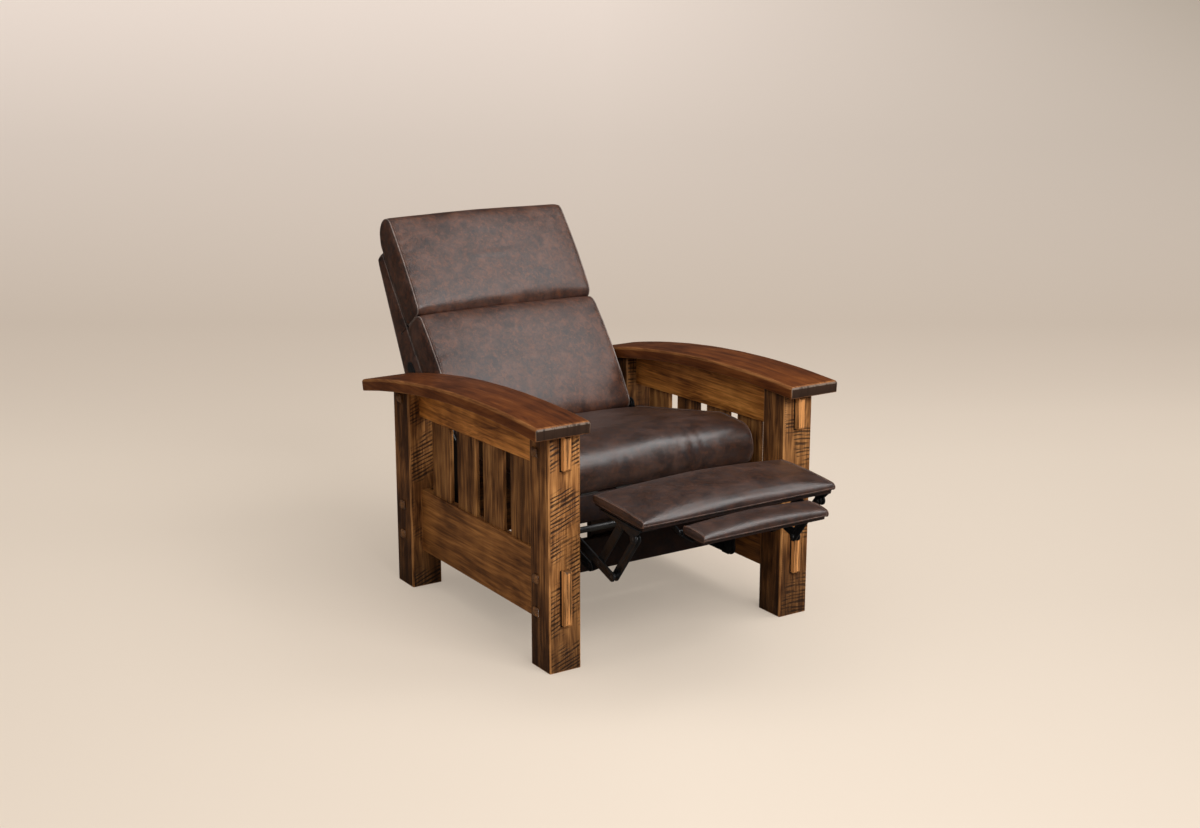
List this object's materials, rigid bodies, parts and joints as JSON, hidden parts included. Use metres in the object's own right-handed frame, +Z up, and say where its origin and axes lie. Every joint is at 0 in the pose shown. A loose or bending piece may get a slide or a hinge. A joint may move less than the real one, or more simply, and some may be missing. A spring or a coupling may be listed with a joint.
{
  "type": "recliner",
  "caption": "Push-back recliner in a mission style: slatted wooden side frames, leather seat and back, and a footrest on a steel scissor linkage.",
  "frame": {"origin": "middle of the chair's box on the floor, with the footrest out and the back leaned back", "axes": "+X to the sitter's left, seen from the front to the right; +Y from the footrest to the back; +Z up"},
  "size_m": [0.909, 1.454, 0.984],
  "materials": {
    "frame_wood": "rough-sawn maple, brown stain, satin lacquer",
    "arm_wood": "smoothed maple, dark brown stain, satin lacquer",
    "peg_wood": "hand-cut square peg, brown stain, satin lacquer",
    "inner_wood": "planed hardwood, dark brown stain",
    "leather": "waxed pull-up leather, dark brown, mottled, satin",
    "leather_trim": "waxed leather stretched on wood, dark brown",
    "webbing": "elastic woven webbing, black-brown",
    "black_steel": "stamped steel, black paint, satin",
    "zinc_steel": "steel rivets and rod, blackened"
  },
  "bodies": {
    "frame": {"arm_left": "arm_wood", "arm_right": "arm_wood", "base_bar_left": "black_steel", "base_bar_right": "black_steel", "base_pins": "zinc_steel", "frame_pegs": "peg_wood", "front_cross_panel": "leather_trim", "front_post_left": "frame_wood", "front_post_right": "frame_wood", "front_upright_left": "black_steel", "front_upright_right": "black_steel", "lower_side_rail_left": "frame_wood", "lower_side_rail_right": "frame_wood", "mount_cleats": "inner_wood", "rear_cross_rail": "frame_wood", "rear_post_left": "frame_wood", "rear_post_right": "frame_wood", "rear_upright_left": "black_steel", "rear_upright_right": "black_steel", "seat_cushion": "leather", "seat_front_rail": "leather_trim", "seat_middle_rail": "inner_wood", "seat_rear_rail": "inner_wood", "seat_riser": "inner_wood", "seat_side_rail_left": "inner_wood", "seat_side_rail_right": "inner_wood", "seat_webbing": "webbing", "slat_left_1": "frame_wood", "slat_left_2": "frame_wood", "slat_left_3": "frame_wood", "slat_left_4": "frame_wood", "slat_right_1": "frame_wood", "slat_right_2": "frame_wood", "slat_right_3": "frame_wood", "slat_right_4": "frame_wood", "upper_side_rail_left": "frame_wood", "upper_side_rail_right": "frame_wood"},
    "back": {"back_bracket_left": "black_steel", "back_bracket_right": "black_steel", "back_shell": "leather", "lower_back_cushion": "leather", "upper_back_cushion": "leather"},
    "cranks": {"crank_left": "black_steel", "crank_right": "black_steel", "crank_cross_rod": "zinc_steel", "crank_pins": "zinc_steel"},
    "rear_cranks": {"rear_crank_left": "black_steel", "rear_crank_right": "black_steel"},
    "couplers": {"coupler_left": "black_steel", "coupler_right": "black_steel", "coupler_pins": "zinc_steel"},
    "front_links": {"front_link_left": "black_steel", "front_link_right": "black_steel"},
    "ottoman": {"ottoman_pad": "leather", "ottoman_board": "leather_trim", "ottoman_brackets": "black_steel", "bracket_pins": "zinc_steel", "flipper_lugs": "black_steel"},
    "flipper": {"flipper_pad": "leather", "flipper_board": "leather_trim", "flipper_leaves": "black_steel"}
  },
  "joints": [
    {"name": "footrest_fold", "type": "hinge", "parent": "frame", "child": "cranks", "pos_m": [0, -0.25501, 0.33799], "axis": [1, 0, 0], "range_deg": [0, 86.8]},
    {"name": "rear_crank_swing", "type": "hinge", "parent": "frame", "child": "rear_cranks", "pos_m": [0, -0.21531, 0.31669], "axis": [1, 0, 0], "range_deg": [0, 86.84]},
    {"name": "coupler_knee", "type": "hinge", "parent": "cranks", "child": "couplers", "pos_m": [0, -0.43487, 0.2783], "axis": [1, 0, 0], "range_deg": [-86.84, 0]},
    {"name": "front_link_toe", "type": "hinge", "parent": "cranks", "child": "front_links", "pos_m": [0, -0.49181, 0.2594], "axis": [1, 0, 0], "range_deg": [-86.84, 0]},
    {"name": "ottoman_turn", "type": "hinge", "parent": "couplers", "child": "ottoman", "pos_m": [0, -0.52687, 0.3983], "axis": [1, 0, 0], "range_deg": [0, 86.84]},
    {"name": "flipper_flip", "type": "hinge", "parent": "ottoman", "child": "flipper", "pos_m": [0, -0.63499, 0.39404], "axis": [1, 0, 0], "range_deg": [0, 173.68]},
    {"name": "back_recline", "type": "hinge", "parent": "frame", "child": "back", "pos_m": [0, 0.293, 0.43999], "axis": [1, 0, 0], "range_deg": [0, 22.3]}
  ],
  "couplings": [
    {"joint": "rear_crank_swing", "follows": "footrest_fold", "ratio": 1},
    {"joint": "coupler_knee", "follows": "footrest_fold", "ratio": -1},
    {"joint": "front_link_toe", "follows": "footrest_fold", "ratio": -1},
    {"joint": "ottoman_turn", "follows": "footrest_fold", "ratio": 1},
    {"joint": "flipper_flip", "follows": "footrest_fold", "ratio": 2}
  ]
}
